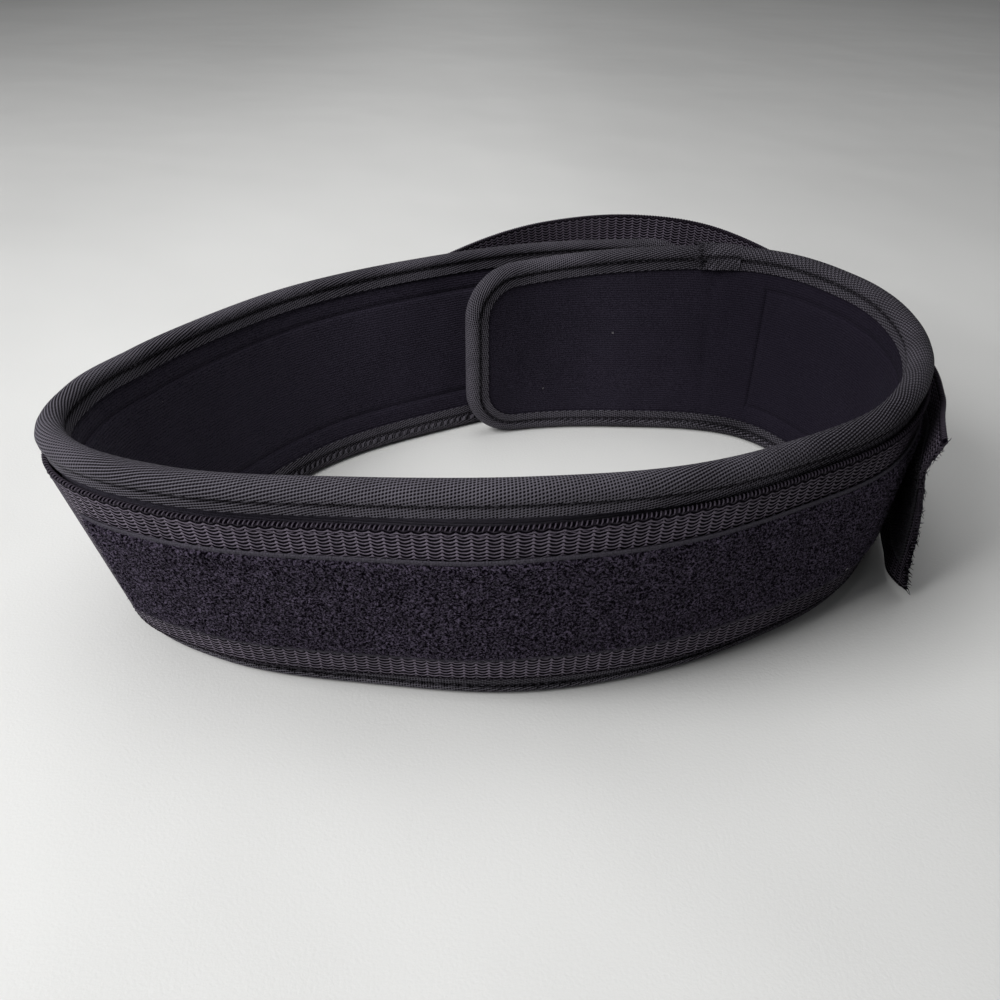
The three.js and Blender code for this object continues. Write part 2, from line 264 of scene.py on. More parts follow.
# Foam pad: simulated flat, as it is sewn, and then laid round the loop
padMake = {
    "ringSpacing": 4.0, "cornerRings": 10, "edgeRows": 5, "faceRows": 12,
    "seamInset": 19.0, "seamStart": 16.0, "seamDepth": 0.9, "seamWidth": 0.9,
    "pressure": 4, "puffIn": 1.5, "puffOut": 0.35, "frames": 20,
    "wrinkle": 0.22, "creases": ((118, 2.6, 2.2), (113, -1.6, 3.5), (146, 2.0, 1.8), (97, 2.0, 2.5)),
}


def cornerInset(s):
    radius = belt["padCorner"]
    fromEnd = np.minimum(s - noseRadius, padEnd - s)
    rounded = radius - np.sqrt(np.maximum(radius ** 2 - (radius - fromEnd) ** 2, 0))
    return np.where(fromEnd < radius, rounded, 0)


def seamHeights(s):
    low = np.full(np.shape(s), padMake["seamInset"])
    return low, along(padWall, s, "width") - padMake["seamInset"]


def clustered(count):
    t = np.linspace(0, 1, count + 1)
    return t - np.sin(2 * math.pi * t) / (2 * math.pi) * 0.6


def padStations():
    radius, spacing = belt["padCorner"], padMake["ringSpacing"]
    arc = radius * (1 - np.cos(np.linspace(0, math.pi / 2, padMake["cornerRings"] + 1)))
    seams = np.array([lengthAt(belt["webStartTurn"])])
    plain = np.arange(noseRadius + radius + spacing, padEnd - radius - spacing / 2, spacing)
    near = np.abs(plain[:, None] - seams).min(1)
    around = (seams[:, None] + np.array([-3.5, -1.4, -0.5, 0.5, 1.4, 3.5])).ravel()
    return np.sort(np.concatenate([noseRadius + arc, plain[near > 5], around, padEnd - arc]))


def padGrid():
    s = padStations()
    low = noseRadius + cornerInset(s)
    high = along(padWall, s, "width") - low
    seamLow, seamHigh = seamHeights(s)
    seamLow, seamHigh = np.clip(seamLow, low + 2, high - 6), np.clip(seamHigh, low + 6, high - 2)
    edge, face = clustered(padMake["edgeRows"]), clustered(padMake["faceRows"])
    spans = ((low, seamLow, edge), (seamLow, seamHigh, face[1:]), (seamHigh, high, edge[1:]))
    rows = np.concatenate([a[:, None] + (b - a)[:, None] * t for a, b, t in spans], 1)
    nose = np.radians([150, 180, 210])
    lowEdge = low[:, None] + halfPad * np.cos(nose)
    highEdge = high[:, None] - halfPad * np.cos(nose[::-1])
    height = np.concatenate([rows, highEdge, rows[:, ::-1], lowEdge], 1)
    count = rows.shape[1]
    depth = np.concatenate([np.full(count, -halfPad), halfPad * np.sin(np.radians([-60, 0, 60])),
                            np.full(count, halfPad), halfPad * np.sin(np.radians([60, 0, -60]))])
    depth = np.broadcast_to(depth, height.shape).copy()
    return np.broadcast_to(s[:, None], height.shape).copy(), height, depth


def seamNearness(s, height):
    low, high = seamHeights(s)
    start = lengthAt(belt["webStartTurn"])
    sewnOn = (s > padMake["seamStart"]) & (s < start + 1)
    rowGap = np.where(sewnOn, np.minimum(np.abs(height - low), np.abs(height - high)), 99)
    between = (height > low) & (height < high)
    columnGap = np.where(between, np.abs(s - start), 99)
    return np.minimum(rowGap, columnGap)


def puffPad(piece, held):
    pickOnly(piece)
    pins = piece.vertex_groups.new(name="held")
    for i, weight in enumerate(held):
        if weight > 0:
            pins.add([i], float(weight), "REPLACE")
    cloth = piece.modifiers.new("puff", "CLOTH")
    settings = cloth.settings
    settings.effector_weights.gravity = 0
    settings.use_pressure = True
    settings.uniform_pressure_force = padMake["pressure"]
    settings.vertex_group_mass = "held"
    settings.tension_stiffness = settings.compression_stiffness = 30
    settings.bending_stiffness = 2
    settings.quality = 4
    cloth.point_cache.frame_start, cloth.point_cache.frame_end = 1, padMake["frames"]
    for number in range(1, padMake["frames"] + 1):
        bpy.context.scene.frame_set(number)
    bpy.ops.object.modifier_apply(modifier="puff")
    bpy.context.scene.frame_set(1)


def makePad():
    s, height, depth = padGrid()
    piece = addPiece("pad_foam", np.stack([s, height, depth], -1) * mm, ringFaces(*s.shape))
    finishSkin(piece)
    nearSeam = seamNearness(s, height)
    edgeGap = np.minimum(height, along(padWall, s, "width") - height)
    outside = depth > 0
    held = (nearSeam < 1.2) | (edgeGap < belt["bindingReach"]) | outside
    puffPad(piece, held.ravel().astype(float))
    pickOnly(piece)
    subdivide = piece.modifiers.new("finer", "SUBSURF")
    subdivide.levels = subdivide.render_levels = 1
    subdivide.boundary_smooth = "PRESERVE_CORNERS"
    bpy.ops.object.modifier_apply(modifier="finer")
    layPad(piece)
    return piece


def layPad(piece):
    mesh = piece.data
    points = np.empty(len(mesh.vertices) * 3, np.float32)
    mesh.vertices.foreach_get("co", points)
    s, height, depth = points.reshape(-1, 3).T.astype(float) / mm
    low, high = -halfPad - padMake["puffIn"], halfPad + padMake["puffOut"]
    face = np.abs(depth) / halfPad > 0.9
    over = np.maximum(-depth - halfPad, 0)
    puffed = -halfPad - padMake["puffIn"] * np.tanh(over / padMake["puffIn"])
    depth = np.where(depth < -halfPad, puffed, depth)
    depth = np.clip(depth, low, high)
    nearSeam = seamNearness(s, height)
    groove = padMake["seamDepth"] * np.exp(-(nearSeam / padMake["seamWidth"]) ** 2)
    edgeGap = np.minimum(height, along(padWall, s, "width") - height)
    inner = depth < 0
    free = np.clip((edgeGap - belt["bindingReach"]) / 6, 0, 1)
    rng = np.random.default_rng(7)
    wrinkle = sum(np.sin(s * f + height * g + p) for f, g, p in
                  zip(rng.uniform(0.05, 0.35, 6), rng.uniform(-0.2, 0.2, 6), rng.uniform(0, 6.3, 6))) / 6
    for turn, rise, width in padMake["creases"]:
        wrinkle = wrinkle + rise * np.exp(-((s - lengthAt(turn)) / width) ** 2)
    depth = depth + np.where(face & inner, groove + free * padMake["wrinkle"] * wrinkle, 0)
    placed = toFrame(place(padWall, s, height, depth))
    mesh.vertices.foreach_set("co", placed.ravel().astype(np.float32))
    setLaid(mesh, np.stack([s, height, depth], -1))
    mesh.update()


# Edge tape: folded over the pad's edge, sewn through both legs
tapeMake = {
    "spacing": 2.0, "cornerSteps": 14, "noseSteps": 9, "bulge": 0.5, "grooveInward": 5.8,
    "grooveDepth": 0.8, "grooveWidth": 0.7, "flangeDrop": 0.3, "pleat": 0.34, "pleatPitch": 4.4,
    "waver": 0.35, "stitchPitch": 3.4, "stitchLength": 2.7, "stitchRadius": 0.2,
}


def tapePath():
    radius = belt["padCorner"]
    straight = np.arange(noseRadius + radius, padEnd - radius, tapeMake["spacing"])[1:]
    angle = np.linspace(0, math.pi / 2, tapeMake["cornerSteps"] + 1)
    reach, rise = radius * (1 - np.cos(angle)), radius * (1 - np.sin(angle))

    def run(stations, up):
        height = along(padWall, stations, "width") - noseRadius if up else np.full(len(stations), noseRadius)
        zero = np.zeros(len(stations))
        return np.stack([stations, height, zero, zero + (1 if up else -1)], -1)

    def corner(end, ds, dh):
        s = end - ds * reach
        top = along(padWall, s, "width") - noseRadius
        height = noseRadius + rise if dh < 0 else top - rise
        across = 1 - reach / radius
        return np.stack([s, height, ds * across, dh * np.sqrt(1 - across ** 2)], -1)

    return np.concatenate([
        run(straight, False), corner(padEnd, 1, -1)[::-1], corner(padEnd, 1, 1),
        run(straight, True)[::-1], corner(noseRadius, -1, 1)[::-1], corner(noseRadius, -1, -1),
    ])


# Profile across the tape: inward reach, depth, the unrolled place and the outward direction of each point
def tapeProfile(face, thickness, reach):
    outer = face + thickness
    leg = np.concatenate([np.linspace(reach, 7.2, 5), np.linspace(6.8, 4.9, 7), np.linspace(4.2, 0.9, 4)])
    leg = leg[leg < reach + 0.01]
    inwardLeg = leg - noseRadius
    legAt = lambda side, depth: [(x, side * depth, 0.0, side) for x in inwardLeg if x > 0]
    nose = [(-outer * math.cos(a), outer * math.sin(a), -math.cos(a), math.sin(a))
            for a in np.linspace(math.pi / 2, -math.pi / 2, tapeMake["noseSteps"] + 2)]
    top = legAt(1, outer) + nose + legAt(-1, outer)[::-1]
    inner = [(reach - noseRadius, -face, 0, 0), (2.5, -face, 0, 0), (0, -face, 0, 0),
             (-face * 0.87, -face * 0.5, 0, 0), (-face, 0, 0, 0), (-face * 0.87, face * 0.5, 0, 0),
             (0, face, 0, 0), (2.5, face, 0, 0), (reach - noseRadius, face, 0, 0)]
    top, inner = np.array(top, float), np.array(inner, float)
    steps = np.hypot(np.diff(top[:, 0]), np.diff(top[:, 1]))
    unrolled = np.concatenate([[0], np.cumsum(steps)])
    unrolled -= unrolled[-1] / 2
    return top, inner, unrolled


def tapeRelief(run, top):
    inward = top[:, 0] + noseRadius
    nearGroove = inward - tapeMake["grooveInward"]
    onLeg = top[:, 0] > 0
    bulge = tapeMake["bulge"] * np.exp(-((inward - 3.4) / 2.0) ** 2)
    hollow = np.exp(-(nearGroove / tapeMake["grooveWidth"]) ** 2)
    groove = np.where(onLeg, -tapeMake["grooveDepth"] * hollow, 0)
    flange = np.where(onLeg & (nearGroove > 0.5), -tapeMake["flangeDrop"], 0)
    pleatShape = np.exp(-((inward - 4.4) / 1.6) ** 2) * onLeg
    rng = np.random.default_rng(11)
    count = np.cumsum(rng.uniform(0.7, 1.3, len(run)))
    phase = count * 2 * math.pi * np.gradient(run) / tapeMake["pleatPitch"]
    side = np.sign(top[:, 1])
    pleat = np.sin(phase[:, None] + side * 1.7) * pleatShape * tapeMake["pleat"]
    edge = np.clip((nearGroove - 1) / 3.5, 0, 1) * onLeg
    waver = np.sin(phase[:, None] * 0.41 + side) * edge * tapeMake["waver"]
    return bulge + groove + flange + pleat + np.abs(waver) * 0.6


def tapePoints(path, top, relief, turnedNose):
    lean = np.arcsin(along(padWall, path[:, 0], "lean"))
    turn = lean * np.maximum(-path[:, 3], 0) if turnedNose else np.zeros(len(path))
    onNose = top[:, 0] < 0
    inward = top[:, 0] + relief * top[:, 2]
    depth = top[:, 1] + relief * top[:, 3]
    angle = np.where(onNose, turn[:, None], 0)
    across = inward * np.cos(angle) + depth * np.sin(angle)
    depth = np.where(onNose, -inward * np.sin(angle) + depth * np.cos(angle), depth)
    s = path[:, 0:1] - path[:, 2:3] * across
    height = path[:, 1:2] - path[:, 3:4] * across
    return place(padWall, s, height, depth)


def makeTape():
    path = tapePath()
    top, inner, unrolled = tapeProfile(halfPad + belt["gap"], belt["tapeThickness"], belt["bindingReach"])
    loop = np.concatenate([path, path[:1]])
    run = np.concatenate([[0], np.cumsum(np.hypot(np.diff(loop[:, 0]), np.diff(loop[:, 1])))])[:-1]
    outside = tapePoints(path, top, tapeRelief(run, top), True)
    inside = tapePoints(path, inner, np.zeros((len(path), len(inner))), False)
    points = np.concatenate([outside, inside], 1)
    laid = np.zeros(points.shape)
    laid[..., 0] = run[:, None]
    laid[:, :len(top), 1] = unrolled
    laid[:, len(top):, 1] = np.linspace(unrolled[-1], unrolled[0], len(inner))
    laid[..., 2] = path[:, 3:4]
    return makeSkin("edge_tape", points, laid, closed=True), path, run


# Sewing thread along a row of points in flat place, one short raised stitch each
def makeStitches(name, wall, s, height, depth, pitch, length, radius):
    steps = np.hypot(np.diff(s), np.diff(height))
    run = np.concatenate([[0], np.cumsum(steps)])
    starts = np.arange(0.5, run[-1] - length, pitch)
    t = np.linspace(0, 1, 5)
    at = starts[:, None] + t * length
    arch = np.sin(math.pi * t) * radius
    side = np.sign(np.mean(depth))
    paths = place(wall, np.interp(at, run, s), np.interp(at, run, height),
                  np.interp(at, run, depth) + side * (arch - radius * 0.6))
    thick = radius * np.array([0.35, 0.9, 1, 0.9, 0.35])
    return makeThreads(name, paths, thick)


# Strap: coarse ribbed webbing, sewn round the pad and then free
webMake = {
    "ringSpacing": 1.1, "rows": 50, "columnPitch": 4.27, "ribHeight": 0.2,
    "coilPitch": 1.5, "coilRadius": 0.28, "coilReach": 0.82, "coilInset": 0.75,
    "coilLap": 1.25, "threadMark": 50, "tipFlare": 2.2, "tipLength": 22, "tipHeight": 12,
    "riseAt": (150, 330, 440, 520), "rise": (1.2, 1.6, 2.8, 1.2),
    "frays": 300, "frayLength": 3.8, "frayFoot": 1.5, "frayLean": 1.6, "fraySpread": 1.8, "fraySplay": 0.4,
}


def strapRise(s, up):
    low = np.clip(1 - up / belt["webWidth"], 0, 1)
    return low * np.interp(s, webMake["riseAt"], webMake["rise"])


def placeOnStrap(s, up, depth):
    up = up + strapRise(s, up)
    cutLength = 4 * belt["tailCut"]
    reach = np.clip((s - (strapEnd - cutLength)) / cutLength, 0, 1)
    slant = belt["tailCut"] * reach * reach * (3 - 2 * reach)
    foot = along(strapWall, s, "foot")
    flareAt = np.clip((s - (strapEnd - belt["earLength"])) / belt["earLength"], 0, 1)
    flare = belt["earFlare"] * flareAt * flareAt
    margin = (belt["webWidth"] - belt["hookWidth"]) / 2
    lift = flare * np.clip((up - belt["webWidth"] + margin) / margin, 0, 1)
    tipAt = np.clip((s - strapEnd + webMake["tipLength"]) / webMake["tipLength"], 0, 1)
    tip = webMake["tipFlare"] * tipAt ** 2 * np.clip(1 - up / webMake["tipHeight"], 0, 1)
    return place(strapWall, s - slant * (1 - up / belt["webWidth"]), foot + up, depth + lift + tip)


def stripPoints(s, heights, inner, outer, edgeRound):
    count = len(heights)
    up = np.concatenate([heights, [heights[-1] + edgeRound], heights[::-1], [heights[0] - edgeRound]])
    middle = (inner + outer) / 2
    depth = np.concatenate([np.full(count, inner), [middle], np.full(count, outer), [middle]])
    up = np.broadcast_to(up, (len(s), len(up)))
    depth = np.broadcast_to(depth, up.shape).copy()
    return np.broadcast_to(s[:, None], up.shape), up, depth


def makeWebbing(name, start, end, raggedEnd=False):
    s = np.arange(start, end, webMake["ringSpacing"])
    s = np.append(s[s < end - 0.3], end)
    heights = np.linspace(0.7, belt["webWidth"] - 0.7, webMake["rows"])
    at, up, depth = stripPoints(s, heights, webFace, webBack, 0.7)
    rib = webMake["ribHeight"] * (np.abs(np.sin(math.pi * at / webMake["columnPitch"])) - 0.7)
    side = np.sign(depth - (webFace + webBack) / 2)
    inset = np.where(name == "strap_sewn", side > 0, side != 0)
    depth = depth + np.where(inset, side * rib, 0)
    if raggedEnd:
        rng = np.random.default_rng(5)
        fray = rng.uniform(-1.2, 0.2, up.shape[1])
        near = np.clip((at - (end - 6)) / 6, 0, 1)
        at = at + fray * near
    points = placeOnStrap(at, up, depth)
    return makeSkin(name, points, np.stack([at, up, depth], -1))


def makeCoil(name, start, end, top):
    pitch = webMake["coilPitch"]
    turns = int((end - start) / pitch)
    t = np.linspace(0, 1, 7)
    at = start + (np.arange(turns)[:, None] + t * webMake["coilLap"]) * pitch
    swing = 2 * math.pi * t
    middle = (webFace + webBack) / 2
    edge = belt["webWidth"] - webMake["coilInset"] if top else webMake["coilInset"]
    up = edge + (1 if top else -1) * webMake["coilReach"] * np.cos(swing - math.pi)
    depth = middle + webMake["coilReach"] * np.sin(swing - math.pi)
    up, depth = (np.broadcast_to(a, at.shape) for a in (up, depth))
    paths = placeOnStrap(np.minimum(at, strapEnd), up, depth)
    return makeThreads(name, paths, webMake["coilRadius"], laid=(2.35, 0.75, webMake["threadMark"]))


def makeFray():
    rng = np.random.default_rng(3)
    count, foot = webMake["frays"], strapEnd - webMake["frayFoot"]
    up = rng.uniform(0.5, belt["webWidth"] - 0.5, count)[:, None]
    t = np.linspace(0, 1, 4)
    length = rng.uniform(0.9, webMake["frayLength"], count)
    out = t * length[:, None]
    spread = lambda most: rng.uniform(-most, most, count)[:, None]
    depth = (webFace + webBack) / 2 + spread(0.7) + spread(webMake["frayLean"]) * t ** 2
    rise = up + spread(webMake["fraySpread"]) * t ** 2
    inside = placeOnStrap(np.full(out.shape, foot), rise, depth)
    beyond = rise + webMake["fraySplay"] * (rise - up)
    ahead = placeOnStrap(np.full(out.shape, strapEnd - 0.2), beyond, depth) - inside
    ahead /= np.linalg.norm(ahead, axis=-1, keepdims=True)
    paths = inside + ahead * out[..., None]
    paths[..., 2] = np.maximum(paths[..., 2], 0.2)
    return makeThreads("tail_fray", paths, np.array([0.26, 0.24, 0.18, 0.07]), sides=3)


# Pile panel: a woven backing with a bare border, and the loops on it
pileMake = {
    "spacing": 0.68, "border": 1.6, "backing": 0.8, "tuft": 0.42, "loops": 6500, "loopRadius": 0.075,
    "sag": 1.15, "sagFrom": 16, "sagLength": 20, "waver": 0.3, "waverLength": 15,
}
pileStart, pileEnd = strapLengthAt(belt["pileEndTurn"]), strapLengthAt(belt["pileStartTurn"])
pileFoot = (belt["webWidth"] - belt["pileWidth"]) / 2


def pileSway(s):
    fromSag = (s - strapLengthAt(0) - pileMake["sagFrom"]) / pileMake["sagLength"]
    return -pileMake["sag"] * np.exp(-fromSag ** 2) + pileMake["waver"] * np.sin(s / pileMake["waverLength"])


def makePileSkin(name, at, up, depth):
    return makeSkin(name, placeOnStrap(at, up + pileSway(at), depth), np.stack([at, up, depth], -1))


def makePileBacking():
    s = np.linspace(pileStart, pileEnd, int((pileEnd - pileStart) / 2))
    heights = pileFoot + np.linspace(0.3, belt["pileWidth"] - 0.3, 16)
    return makePileSkin("pile_backing", *stripPoints(s, heights, pileFace, pileFace + pileMake["backing"], 0.3))


def bumps(s, height, seed, sizes):
    rng = np.random.default_rng(seed)
    total = 0
    for size, weight in sizes:
        for _ in range(5):
            angle, phase = rng.uniform(0, 2 * math.pi, 2)
            f = 2 * math.pi / size * rng.uniform(0.8, 1.2)
            total = total + weight * np.sin((s * math.cos(angle) + height * math.sin(angle)) * f + phase)
    return total


def makePileLoops():
    border = pileMake["border"]
    s = np.arange(pileStart + 0.6, pileEnd - 0.6, pileMake["spacing"])
    heights = pileFoot + np.linspace(border, belt["pileWidth"] - border, 72)
    outer = pileFace + belt["pileThickness"]
    count = len(heights)
    up = np.concatenate([heights, heights[::-1]])
    base = pileFace + pileMake["backing"] * 0.6
    depth = np.concatenate([np.full(count, base), np.full(count, outer - pileMake["tuft"])])
    at = np.broadcast_to(s[:, None], (len(s), 2 * count)).copy()
    up = np.broadcast_to(up, at.shape).copy()
    depth = np.broadcast_to(depth, at.shape).copy()
    rng = np.random.default_rng(21)
    tuft = rng.normal(0, 0.16, at.shape) + bumps(at, up, 4, [(2.0, 0.07), (5.5, 0.06), (14, 0.07)])
    toEdge = np.minimum.reduce([up - heights[0], heights[-1] - up, at - s[0], s[-1] - at])
    crown = np.sqrt(np.clip(toEdge / 1.6, 0, 1))
    face = depth > base
    depth = np.where(face, base + (depth - base) * crown + tuft * crown, depth)
    at = at + np.where(face, rng.normal(0, 0.12, at.shape), 0)
    up = up + np.where(face, rng.normal(0, 0.12, at.shape), 0)
    return makePileSkin("pile_loops", at, up, depth)


def makePileFuzz():
    rng = np.random.default_rng(9)
    count = pileMake["loops"]
    at = rng.uniform(pileStart + 1, pileEnd - 1, count)[:, None]
    up = (pileFoot + rng.uniform(1.2, belt["pileWidth"] - 1.2, count))[:, None]
    t = np.linspace(0, 1, 5)
    width, angle = rng.uniform(0.5, 1.3, count)[:, None], rng.uniform(0, 2 * math.pi, count)[:, None]
    rise = rng.uniform(0.25, 0.75, count)[:, None]
    at = at + np.cos(angle) * width * (t - 0.5)
    up = up + np.sin(angle) * width * (t - 0.5)
    depth = pileFace + belt["pileThickness"] - pileMake["tuft"] - 0.15 + rise * np.sin(math.pi * t)
    paths = placeOnStrap(at, up + pileSway(at), depth)
    return makeThreads("pile_fuzz", paths, pileMake["loopRadius"], sides=3)


# Hook tape on the inner face of the tail's end
hookMake = {"backing": 0.55, "pitch": 1.55, "rise": 0.95, "lean": 0.45, "radius": 0.12}


def makeHookTape():
    end = strapEnd - belt["hookInset"]
    start = end - belt["hookLength"]
    outer = webFace - belt["gap"]
    foot = (belt["webWidth"] - belt["hookWidth"]) / 2
    s = np.linspace(start, end, 50)
    heights = foot + np.linspace(0.3, belt["hookWidth"] - 0.3, 20)
    at, up, depth = stripPoints(s, heights, outer - hookMake["backing"], outer, 0.3)
    backing = makeSkin("hook_backing", placeOnStrap(at, up, depth), np.stack([at, up, depth], -1))
    pitch = hookMake["pitch"]
    a, b = np.meshgrid(np.arange(start + 1.5, end - 1.5, pitch),
                       foot + np.arange(2.5, belt["hookWidth"] - 2.5, pitch))
    a = (a + (np.arange(a.shape[0])[:, None] % 2) * pitch / 2).ravel()[:, None]
    b = b.ravel()[:, None]
    t = np.linspace(0, 1, 6)
    sway = np.where(np.arange(len(a)) % 2, 1, -1)[:, None] * hookMake["lean"]
    up = b + sway * np.sin(t * math.pi * 0.9)
    rise = hookMake["rise"] * np.sin(t * math.pi * 0.62)
    depth = outer - hookMake["backing"] - rise + np.zeros_like(up)
    paths = placeOnStrap(np.broadcast_to(a, up.shape), up, depth)
    return backing, makeThreads("hook_points", paths, hookMake["radius"], sides=3)


# Cut end of the tape, lapped over its start and frayed
lapMake = {
    "spacing": 0.8, "crumple": 0.35, "hairs": 60, "hairLength": 4.6, "cutLength": 12, "rampLength": 9,
    "sink": 0.85, "ragged": 2.4, "raggedLength": 5,
}


def makeLap():
    middle, half = lengthAt(belt["lapTurn"]), belt["lapLength"] / 2
    s = np.arange(middle - half, middle + half, lapMake["spacing"])
    path = np.stack([s, along(padWall, s, "width") - noseRadius, 0 * s, 0 * s + 1], -1)
    face = noseRadius + belt["gap"]
    top, inner, unrolled = tapeProfile(face, belt["tapeThickness"], belt["bindingReach"])
    relief = bumps(s[:, None], unrolled[None], 8, [(7, 0.12), (3.2, 0.09)]) * lapMake["crumple"] * 2
    cut = np.clip(1 - (s[-1] - s) / lapMake["cutLength"], 0, 1)[:, None]
    ramp = np.clip((s - s[0]) / lapMake["rampLength"], 0, 1)[:, None]
    low = lapMake["sink"] * (1 - ramp * ramp * (3 - 2 * ramp))
    relief = np.clip(relief * (1 + 2 * cut), -0.3, 1.1) + 0.1 - low
    outside = tapePoints(path, top, relief, False)
    inside = tapePoints(path, inner, np.zeros((len(path), len(inner))), False)
    points = np.concatenate([outside, inside], 1)
    rng = np.random.default_rng(2)
    ragged = rng.uniform(-lapMake["ragged"], lapMake["ragged"], len(top))
    shift = np.zeros((len(s), points.shape[1]))
    reach = np.clip(1 - np.abs(s - s[-1]) / lapMake["raggedLength"], 0, 1)[:, None]
    shift[:, :len(top)] = reach * ragged
    ahead = np.gradient(points, axis=0)
    ahead /= np.linalg.norm(ahead, axis=-1, keepdims=True)
    points = points + ahead * shift[..., None]
    laid = np.zeros(points.shape)
    laid[..., 0] = s[:, None]
    laid[:, :len(top), 1] = unrolled
    skin = makeSkin("tape_lap", points, laid)
    hairs = lapMake["hairs"]
    pick = rng.integers(2, len(top) - 2, hairs)
    start = points[-1, pick][:, None]
    t = np.linspace(0, 1, 5)[None, :, None]
    away = ahead[-1, pick][:, None] * rng.uniform(0.3, 1, (hairs, 1, 1)) + rng.normal(0, 0.45, (hairs, 1, 3))
    away[..., 2] = np.abs(away[..., 2]) * 0.6
    paths = start + away * lapMake["hairLength"] * t * rng.uniform(0.3, 1, (hairs, 1, 1)) \
        + rng.normal(0, 0.5, (hairs, 1, 3)) * t ** 2
    return skin, makeThreads("lap_hairs", paths, np.array([0.14, 0.13, 0.12, 0.1, 0.06]), sides=3)


# Node tools: a number or a socket may be given wherever a value is needed
def join(tree, value, socket):
    if isinstance(value, bpy.types.NodeSocket):
        tree.links.new(value, socket)
    elif value is not None:
        socket.default_value = value


def calc(tree, operation, *values):
    node = tree.nodes.new("ShaderNodeMath")
    node.operation = operation
    for value, socket in zip(values, node.inputs):
        join(tree, value, socket)
    return node.outputs[0]


def times(tree, first, second):
    return calc(tree, "MULTIPLY", first, second)


# Rounded ridges, with a sharp hollow at each whole number
def ridges(tree, value):
    return calc(tree, "ABSOLUTE", calc(tree, "SINE", times(tree, value, math.pi)))


def fade(tree, value, low, high, start=0.0, end=1.0):
    node = tree.nodes.new("ShaderNodeMapRange")
    node.interpolation_type = "SMOOTHSTEP"
    for number, given in enumerate((value, low, high, start, end)):
        join(tree, given, node.inputs[number])
    return node.outputs[0]


def grain(tree, place, size, detail=2.0, roughness=0.5):
    node = tree.nodes.new("ShaderNodeTexNoise")
    join(tree, place, node.inputs["Vector"])
    join(tree, calc(tree, "DIVIDE", 1.0, size), node.inputs["Scale"])
    node.inputs["Detail"].default_value = detail
    node.inputs["Roughness"].default_value = roughness
    return node.outputs["Fac"]


def blend(tree, mask, first, second):
    node = tree.nodes.new("ShaderNodeMix")
    node.data_type = "RGBA"
    join(tree, mask, node.inputs[0])
    join(tree, first, node.inputs[6])
    join(tree, second, node.inputs[7])
    return node.outputs[2]


def newGroup(name, ins, outs):
    tree = bpy.data.node_groups.new(name, "ShaderNodeTree")
    for label, kind in ins:
        tree.interface.new_socket(name=label, in_out="INPUT", socket_type="NodeSocket" + kind)
    for label in outs:
        tree.interface.new_socket(name=label, in_out="OUTPUT", socket_type="NodeSocketFloat")
    return tree, tree.nodes.new("NodeGroupInput").outputs, tree.nodes.new("NodeGroupOutput").inputs


# Gentle change of tone over the cloth, in patches and along fibres
def makeTone():
    tree, given, out = newGroup("clothTone", [("Place", "Vector"), ("Patch", "Float")], ["Tone"])
    patch = grain(tree, given["Place"], given["Patch"], 3.0)
    fibre = grain(tree, given["Place"], 0.45, 1.0)
    total = calc(tree, "ADD", times(tree, patch, 0.55), times(tree, fibre, 0.45))
    join(tree, fade(tree, total, 0.25, 0.75, 0.72, 1.28), out["Tone"])
    return tree


# Few bright specks and bits of lint
def makeLint():
    tree, given, out = newGroup("lintSpecks", [("Place", "Vector"), ("Spacing", "Float")], ["Mask"])
    cells = tree.nodes.new("ShaderNodeTexVoronoi")
    join(tree, given["Place"], cells.inputs["Vector"])
    join(tree, calc(tree, "DIVIDE", 1.0, given["Spacing"]), cells.inputs["Scale"])
    pick = tree.nodes.new("ShaderNodeSeparateColor")
    join(tree, cells.outputs["Color"], pick.inputs[0])
    wave = grain(tree, given["Place"], 0.6, 1.0)
    near = calc(tree, "ADD", cells.outputs["Distance"], times(tree, wave, 0.05))
    size = times(tree, pick.outputs[1], 0.05)
    spot = calc(tree, "LESS_THAN", near, calc(tree, "ADD", size, 0.035))
    chosen = calc(tree, "GREATER_THAN", pick.outputs[0], 0.72)
    join(tree, times(tree, spot, chosen), out["Mask"])
    return tree


groups = {"clothTone": makeTone(), "lintSpecks": makeLint()}


def useGroup(tree, name, **given):
    node = tree.nodes.new("ShaderNodeGroup")
    node.node_tree = groups[name]
    for label, value in given.items():
        join(tree, value, node.inputs[label])
    return node.outputs[0]


# A cloth's material: shader, its place in millimetres and the split of that place
def startCloth(name, finish):
    material = bpy.data.materials.new(name)
    material.use_nodes = True
    tree = material.node_tree
    shader = tree.nodes["Principled BSDF"]
    shader.inputs["Roughness"].default_value = finish["roughness"]
    shader.inputs["Sheen Roughness"].default_value = finish["sheenSpread"]
    shader.inputs["Sheen Tint"].default_value = (0.86, 0.84, 1.0, 1)
    flat = tree.nodes.new("ShaderNodeAttribute")
    flat.attribute_name = "laid"
    split = tree.nodes.new("ShaderNodeSeparateXYZ")
    join(tree, flat.outputs["Vector"], split.inputs[0])
    return material, tree, shader, flat.outputs["Vector"], split.outputs


# Painted light and shade: a cloth's tone made lighter or darker from one side of the belt to the other,
# standing in for how the light falls across it
def paintedSideShading(tree, value, fades):
    split = tree.nodes.new("ShaderNodeSeparateXYZ")
    join(tree, tree.nodes.new("ShaderNodeTexCoord").outputs["Object"], split.inputs[0])
    for axis, low, high, start, end in fades:
        value = times(tree, value, fade(tree, split.outputs[axis], low, high, start, end))
    return value


